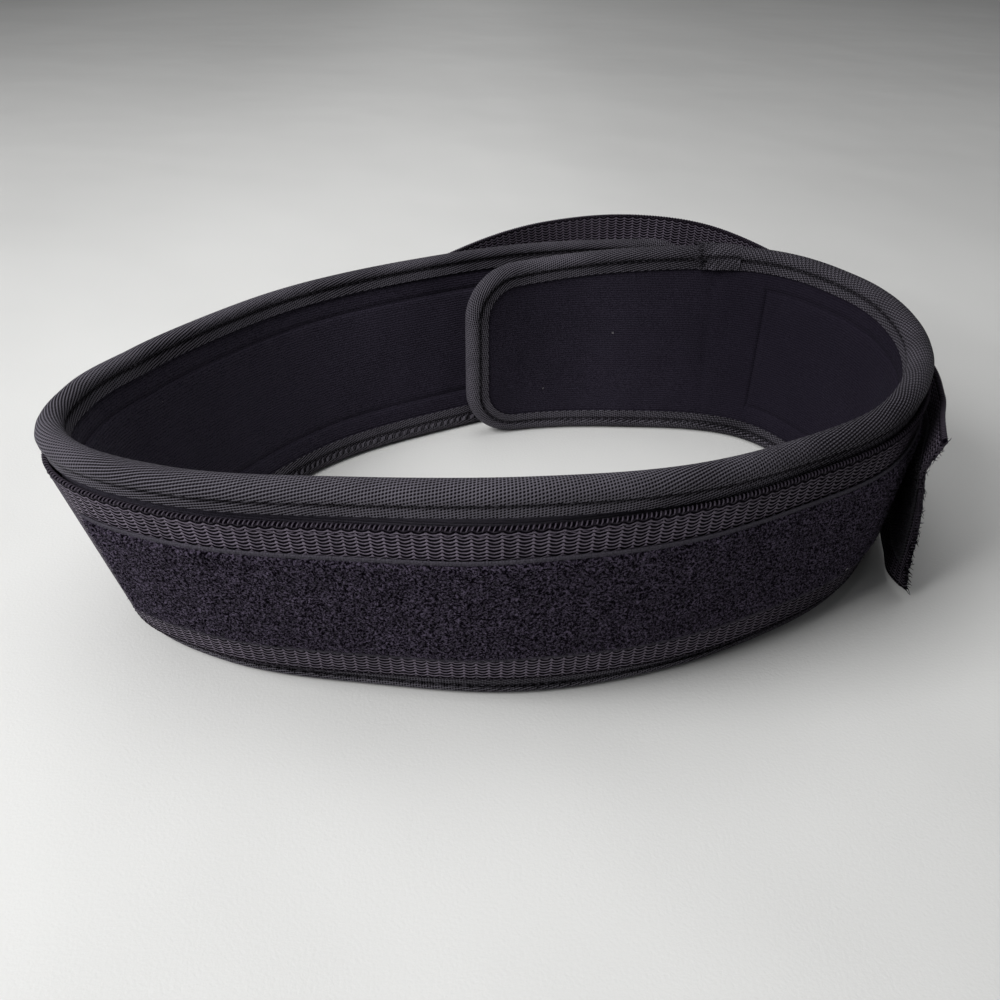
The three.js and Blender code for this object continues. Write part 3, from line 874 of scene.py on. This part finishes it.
def endCloth(tree, shader, finish, place, light, height):
    # painted light and shade: the cloth's tone scaled by its fades across the belt
    light = paintedSideShading(tree, light, finish.get("sides", ()))
    tone = useGroup(tree, "clothTone", Place=place, Patch=finish["patch"])
    lint = useGroup(tree, "lintSpecks", Place=place, Spacing=finish["lintSpacing"])
    shade = times(tree, light, tone)
    join(tree, times(tree, light, finish["specular"]), shader.inputs["Specular IOR Level"])
    join(tree, times(tree, light, finish["sheen"]), shader.inputs["Sheen Weight"])
    colour = blend(tree, shade, (*finish["dark"], 1), (*finish["pale"], 1))
    colour = blend(tree, times(tree, lint, finish["lint"]), colour, (0.3, 0.29, 0.3, 1))
    join(tree, colour, shader.inputs["Base Color"])
    bump = tree.nodes.new("ShaderNodeBump")
    bump.inputs["Distance"].default_value = finish["relief"] * mm
    join(tree, calc(tree, "ADD", height, times(tree, tone, 0.25)), bump.inputs["Height"])
    join(tree, bump.outputs[0], shader.inputs["Normal"])


# The fades by X and Y in each finish are painted light and shade: the cloth lighter or darker by its place
# across the belt, as the light falls
finishes = {
    "foam_jersey": {
        "roughness": 0.92, "specular": 0.15, "sheen": 0.04, "sheenSpread": 0.5, "patch": 26,
        "dark": (0.0095, 0.0078, 0.013), "pale": (0.032, 0.027, 0.043), "relief": 0.2,
        # the outside colour is painted light for the outer face, and its fades by X are painted shade towards
        # both sides
        "rowPitch": 1.15, "walePitch": 0.8, "outside": (0.082, 0.074, 0.094), "lintSpacing": 9, "lint": 0.5,
        "sides": (("X", -0.13, -0.03, 1.9, 1.0), ("X", 0.05, 0.13, 1.0, 0.3)),
        "outsideShadeBySide": (("X", -0.1, -0.02, 0.2, 1.0), ("X", 0.06, 0.14, 1.0, 0.5)),
    },
    "binding_twill": {
        "roughness": 0.7, "specular": 0.25, "sheen": 0.06, "sheenSpread": 0.42, "patch": 14,
        "dark": (0.003, 0.0025, 0.0035), "pale": (0.112, 0.103, 0.126), "relief": 0.8,
        "columnPitch": 1.03, "rowPitch": 1.05, "crease": 8.6,
        "ribPitch": 2.1, "ribLean": 2.6, "ribDepthAndShade": 0.6,
        "sides": (("X", 0.03, 0.13, 1.0, 0.74), ("Y", 0.0, 0.14, 1.0, 0.82)), "lintSpacing": 30, "lint": 0.3,
    },
    "strap_webbing": {
        "roughness": 0.62, "specular": 0.3, "sheen": 0.05, "sheenSpread": 0.4, "patch": 18,
        "dark": (0.002, 0.0014, 0.0028), "pale": (0.172, 0.144, 0.192), "relief": 1.2,
        "columnPitch": 4.27, "rowPitch": 1.55, "slant": 0.72,
        "sides": (("X", 0.03, 0.12, 1.0, 0.5), ("X", -0.14, -0.05, 0.9, 1.0), ("Y", 0.0, 0.14, 1.0, 0.95)),
        "lintSpacing": 30, "lint": 0.3,
    },
    "loop_pile": {
        "roughness": 0.95, "specular": 0.1, "sheen": 0.04, "sheenSpread": 0.55, "patch": 9,
        "dark": (0.001, 0.0006, 0.0016), "pale": (0.09, 0.073, 0.112), "relief": 1.1,
        "border": (0.07, 0.065, 0.08), "lintSpacing": 17, "lint": 0.9,
    },
    # The hook tape's very dark colour is partly its own and partly painted shade, for the deep shade at the
    # tail's end
    "hook_tape": {
        "roughness": 0.45, "specular": 0.5, "sheen": 0.1, "sheenSpread": 0.4, "patch": 12,
        "dark": (0.002, 0.0017, 0.0025), "pale": (0.02, 0.018, 0.023), "relief": 0.3,
        "pitch": 1.55, "lintSpacing": 30, "lint": 0.4,
    },
}


# Fine horizontal knit rows, with the wales across them
def makeJersey():
    finish = finishes["foam_jersey"]
    material, tree, shader, place, at = startCloth("foam_jersey", finish)
    wobble = times(tree, grain(tree, place, 3.0), 0.9)
    row = calc(tree, "ADD", calc(tree, "DIVIDE", at["Y"], finish["rowPitch"]), wobble)
    wale = calc(tree, "DIVIDE", at["X"], finish["walePitch"])
    rows = ridges(tree, row)
    wales = ridges(tree, wale)
    knit = times(tree, rows, fade(tree, wales, 0.0, 0.6, 0.55, 1.0))
    speckle = fade(tree, grain(tree, place, 0.55, 2.0, 0.7), 0.35, 0.65, -0.3, 0.3)
    light = calc(tree, "ADD", calc(tree, "MULTIPLY_ADD", knit, 0.35, 0.33), speckle)
    endCloth(tree, shader, finish, place, light, knit)
    # painted light: the outer face's lighter colour stands in for light reaching the band between tape and
    # strap, made darker again towards both sides as painted shade
    plain = shader.inputs["Base Color"].links[0].from_socket
    outside = paintedSideShading(tree, fade(tree, at["Z"], 1.0, 3.0), finish["outsideShadeBySide"])
    join(tree, blend(tree, outside, plain, (*finish["outside"], 1)), shader.inputs["Base Color"])
    return material


# Twill of four steps: columns of small dark gaps, each a quarter row lower than the one beside it
def makeTwill():
    finish = finishes["binding_twill"]
    material, tree, shader, place, at = startCloth("binding_twill", finish)
    drift = times(tree, grain(tree, place, 26.0, 1.0), 2.2)
    column = calc(tree, "DIVIDE", at["X"], finish["columnPitch"])
    row = calc(tree, "DIVIDE", at["Y"], finish["rowPitch"])
    row = calc(tree, "ADD", calc(tree, "ADD", row, times(tree, column, 0.25)), drift)
    turns = [times(tree, value, 2 * math.pi) for value in (column, row)]
    columns, rows = (calc(tree, "MULTIPLY_ADD", calc(tree, "COSINE", turn), 0.5, 0.5) for turn in turns)
    share = fade(tree, grain(tree, place, 60.0, 0.0), 0.4, 0.62, 0.05, 0.4)
    across = calc(tree, "ADD", times(tree, columns, calc(tree, "SUBTRACT", 1.0, share)), share)
    hole = times(tree, across, rows)
    yarn = fade(tree, hole, 0.1, 0.52, 1.0, 0.05)
    fromMiddle = calc(tree, "ABSOLUTE", at["Y"])
    toCrease = calc(tree, "ABSOLUTE", calc(tree, "SUBTRACT", fromMiddle, finish["crease"]))
    # painted shade: the twill darkened along the fold crease of the tape, where shade falls
    crease = fade(tree, toCrease, 0.15, 1.5, 0.3, 1.0)
    lean = calc(tree, "SUBTRACT", calc(tree, "DIVIDE", at["X"], finish["ribPitch"]),
                calc(tree, "DIVIDE", at["Y"], finish["ribLean"]))
    ribs = ridges(tree, calc(tree, "ADD", lean, drift))
    # painted shade: the diagonal ropes darkened only towards the belt's right side, where the light grazes
    # them; the same ridges also give the bump
    rightRibShade = paintedSideShading(tree, finish["ribDepthAndShade"], (("X", 0.03, 0.11, 0.0, 1.0),))
    ridge = calc(tree, "SUBTRACT", 1.0, times(tree, rightRibShade, fade(tree, ribs, 0.75, 0.15)))
    light = times(tree, times(tree, yarn, crease), ridge)
    endCloth(tree, shader, finish, place, light, times(tree, yarn, ridge))
    return material


# Rows of yarn that zigzag from rib to rib, with short dark slits between them
def makeWebbingCloth():
    finish = finishes["strap_webbing"]
    material, tree, shader, place, at = startCloth("strap_webbing", finish)
    column = calc(tree, "DIVIDE", at["X"], finish["columnPitch"])
    zigzag = calc(tree, "PINGPONG", column, 0.5)
    wobble = times(tree, grain(tree, place, 2.2, 1.0), 0.4)
    bowed = calc(tree, "POWER", times(tree, zigzag, 2.0), 1.7)
    lift = times(tree, bowed, finish["slant"])
    row = calc(tree, "ADD", calc(tree, "DIVIDE", at["Y"], finish["rowPitch"]), wobble)
    row = calc(tree, "SUBTRACT", row, lift)
    yarn = ridges(tree, row)
    peak = fade(tree, zigzag, 0.36, 0.47, 0.0, 0.45)
    body = fade(tree, calc(tree, "ADD", yarn, peak), 0.58, 1.0, 0.02, 1.0)
    # painted shade: the webbing darkened along its two long edges, where shade falls against the pad and the
    # coils
    fromEdge = calc(tree, "MINIMUM", at["Y"], calc(tree, "SUBTRACT", belt["webWidth"], at["Y"]))
    body = times(tree, body, fade(tree, fromEdge, 1.2, 2.2, 0.1, 1.0))
    thread = fade(tree, at["Z"], 30.0, 40.0, 0.0, 0.42)
    light = calc(tree, "MAXIMUM", times(tree, body, 0.95), thread)
    endCloth(tree, shader, finish, place, light, body)
    return material


# Loop pile: fuzzy at several sizes, with a woven border along its two long edges
def makePileCloth():
    finish = finishes["loop_pile"]
    material, tree, shader, place, at = startCloth("loop_pile", finish)
    tuft = grain(tree, place, 1.3, 3.0, 0.7)
    curl = grain(tree, place, 0.8, 2.0, 0.75)
    pile = calc(tree, "ADD", times(tree, tuft, 0.35), times(tree, curl, 0.65))
    light = fade(tree, pile, 0.44, 0.62, 0.02, 1.0)
    endCloth(tree, shader, finish, place, light, pile)
    middle = belt["webWidth"] / 2
    fromMiddle = calc(tree, "ABSOLUTE", calc(tree, "SUBTRACT", at["Y"], middle))
    fromEdge = calc(tree, "SUBTRACT", belt["pileWidth"] / 2, fromMiddle)
    ticks = calc(tree, "ABSOLUTE", calc(tree, "SINE", times(tree, at["X"], math.pi / 0.95)))
    woven = fade(tree, fromEdge, 1.9, 1.0, 0.0, 1.0)
    edge = times(tree, woven, fade(tree, ticks, 0.0, 0.7, 0.55, 0.95))
    plain = shader.inputs["Base Color"].links[0].from_socket
    join(tree, blend(tree, edge, plain, (*finish["border"], 1)), shader.inputs["Base Color"])
    return material


# Hook tape: stiff hooks in rows on a plain woven ground
def makeHookCloth():
    finish = finishes["hook_tape"]
    material, tree, shader, place, at = startCloth("hook_tape", finish)
    across = calc(tree, "SINE", times(tree, at["X"], 2 * math.pi / finish["pitch"]))
    up = calc(tree, "SINE", times(tree, at["Y"], 2 * math.pi / finish["pitch"]))
    ground = times(tree, calc(tree, "ADD", times(tree, across, up), 1.0), 0.5)
    light = calc(tree, "ADD", 0.15, times(tree, ground, 0.5))
    endCloth(tree, shader, finish, place, light, ground)
    return material


cloths = {
    "foam_jersey": makeJersey(), "binding_twill": makeTwill(), "strap_webbing": makeWebbingCloth(),
    "loop_pile": makePileCloth(), "hook_tape": makeHookCloth(),
}
print("cloths", len(cloths))


def dress(piece, slot, *nodes):
    piece.data.materials.clear()
    piece.data.materials.append(cloths[slot])
    if nodes:
        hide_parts(*nodes)
    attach(piece, "root")
    print(piece.name, len(piece.data.polygons), "faces")


# Rows of stitches along both legs of the tape
def sewTape(path, run):
    inward = tapeMake["grooveInward"] - noseRadius
    s = path[:, 0] - path[:, 2] * inward
    height = path[:, 1] - path[:, 3] * inward
    for name, side in (("tape_stitches_outside", 1), ("tape_stitches_inside", -1)):
        depth = np.full(len(s), side * (noseRadius - tapeMake["grooveDepth"] + 0.16))
        row = makeStitches(name, padWall, s, height, depth, tapeMake["stitchPitch"],
                           tapeMake["stitchLength"], tapeMake["stitchRadius"])
        dress(row, "binding_twill")


# Rows of stitches that hold the strap and the pile panel
def sewStrap():
    def sew(names, inset, s, sway, depth, slot, *thread):
        for name, up in zip(names, (belt["webWidth"] - inset, inset)):
            height = along(strapWall, s, "foot") + up + sway + strapRise(s, up)
            dress(makeStitches(name, strapWall, s, height, np.full(len(s), depth), *thread), slot)

    s = np.arange(3.0, strapLengthAt(belt["webLeaveTurn"]) - 3.0, 2.0)
    sew(("strap_stitches_top", "strap_stitches_low"), 3.2, s, 0, webBack + 0.05,
        "strap_webbing", 3.2, 2.5, 0.2)
    s = np.arange(pileStart + 1, pileEnd - 1, 2.0)
    sew(("pile_stitches_top", "pile_stitches_low"), pileFoot + 0.9, s, pileSway(s),
        pileFace + pileMake["backing"] + 0.03, "loop_pile", 2.6, 2.0, 0.13)


pad = makePad()
dress(pad, "foam_jersey", "pad")
tape, path, run = makeTape()
dress(tape, "binding_twill", "edge_binding")
sewTape(path, run)
sewnEnd = strapLengthAt(belt["webLeaveTurn"])
dress(makeWebbing("strap_sewn", 0, sewnEnd), "strap_webbing", "web_strap")
dress(makeWebbing("strap_tail", sewnEnd, strapEnd, raggedEnd=True), "strap_webbing")
for top in (True, False):
    dress(makeCoil("selvage_top" if top else "selvage_low", 0, strapEnd - 1, top), "strap_webbing")
dress(makeFray(), "strap_webbing")
sewStrap()
dress(makePileBacking(), "loop_pile", "pile_panel")
dress(makePileLoops(), "loop_pile")
dress(makePileFuzz(), "loop_pile")
backing, hooks = makeHookTape()
dress(backing, "hook_tape", "hook_panel")
dress(hooks, "hook_tape")
lap, hairs = makeLap()
dress(lap, "binding_twill", "binding_lap")
dress(hairs, "binding_twill")


# Stage: pale cloth floor with faint creases, soft light, and the camera at the photo's place
camera = {"lens": 35.06, "height": 244.1, "back": 363, "left": 7, "pitch": 32}
stage = {
    "floor": (0.745, 0.745, 0.732), "world": (0.97, 0.98, 1.0),
    # painted shade: the floor's fades by X make it darker towards both sides, where the light falls off
    "floorPaintedShading": (("X", -0.06, 0.22, 1.0, 0.88), ("X", 0.15, 0.5, 1.0, 0.93), ("X", -0.5, -0.1, 0.84, 1.0)),
    "worldStrength": 0.125,
    "keyPlace": (-1.2, -0.7, 1.15), "keySize": 1.0, "keyEnergy": 30.5,
    "topPlace": (-0.1, 0.1, 1.45), "topSize": 1.2, "topEnergy": 8,
    "farPlace": (-0.2, 2.3, 1.5), "farSize": 1.6, "farEnergy": 6.5,
}


def addLight(place, size, energy, aim=(0, 0, 0)):
    bpy.ops.object.light_add(type="AREA", location=place)
    lamp = bpy.context.object
    lamp.data.size = size
    lamp.data.energy = energy
    lamp.rotation_euler = (Vector(aim) - lamp.location).to_track_quat("-Z", "Y").to_euler()


def makeFloor():
    bpy.ops.object.select_all(action="DESELECT")
    bpy.ops.mesh.primitive_plane_add(size=8, location=(0, 0, 0))
    floor = bpy.context.object
    floor.name = "floor"
    cloth = bpy.data.materials.new("pale_floor")
    cloth.use_nodes = True
    tree = cloth.node_tree
    shader = tree.nodes["Principled BSDF"]
    shader.inputs["Roughness"].default_value = 0.9
    shader.inputs["Specular IOR Level"].default_value = 0.15
    place = tree.nodes.new("ShaderNodeTexCoord").outputs["Object"]
    patch = grain(tree, place, 0.35, 3.0)
    crease = grain(tree, place, 0.22, 2.0)
    tone = fade(tree, patch, 0.3, 0.7, 0.98, 1.02)
    at = tree.nodes.new("ShaderNodeSeparateXYZ")
    join(tree, place, at.inputs[0])
    # painted shade: the floor darkened towards both sides
    for value, low, high, start, end in stage["floorPaintedShading"]:
        tone = times(tree, tone, fade(tree, at.outputs[value], low, high, start, end))
    white = tree.nodes.new("ShaderNodeVectorMath")
    white.operation = "SCALE"
    white.inputs[0].default_value = stage["floor"]
    join(tree, tone, white.inputs["Scale"])
    join(tree, white.outputs[0], shader.inputs["Base Color"])
    weave = grain(tree, place, 0.0012, 2.0)
    bump = tree.nodes.new("ShaderNodeBump")
    bump.inputs["Distance"].default_value = 0.0009
    height = calc(tree, "ADD", times(tree, crease, 9.0), times(tree, weave, 0.1))
    join(tree, height, bump.inputs["Height"])
    join(tree, bump.outputs[0], shader.inputs["Normal"])
    floor.data.materials.append(cloth)


def makeStage():
    makeFloor()
    world = bpy.data.worlds.new("studio")
    bpy.context.scene.world = world
    world.use_nodes = True
    world.node_tree.nodes["Background"].inputs["Color"].default_value = (*stage["world"], 1)
    world.node_tree.nodes["Background"].inputs["Strength"].default_value = stage["worldStrength"]
    addLight(stage["keyPlace"], stage["keySize"], stage["keyEnergy"])
    addLight(stage["topPlace"], stage["topSize"], stage["topEnergy"])
    addLight(stage["farPlace"], stage["farSize"], stage["farEnergy"], (0, 2.1, 0))
    bpy.ops.object.camera_add()
    eye = bpy.context.object
    eye.data.lens = camera["lens"]
    eye.data.sensor_width = 36
    eye.location = Vector((-camera["left"] - centre[0], -camera["back"] - centre[1], camera["height"])) * mm
    eye.rotation_euler = (math.radians(90 - camera["pitch"]), 0, 0)
    eye.data.clip_start, eye.data.clip_end = 0.01, 50
    bpy.context.scene.camera = eye


makeStage()
bpy.context.scene.view_settings.view_transform = "Standard"
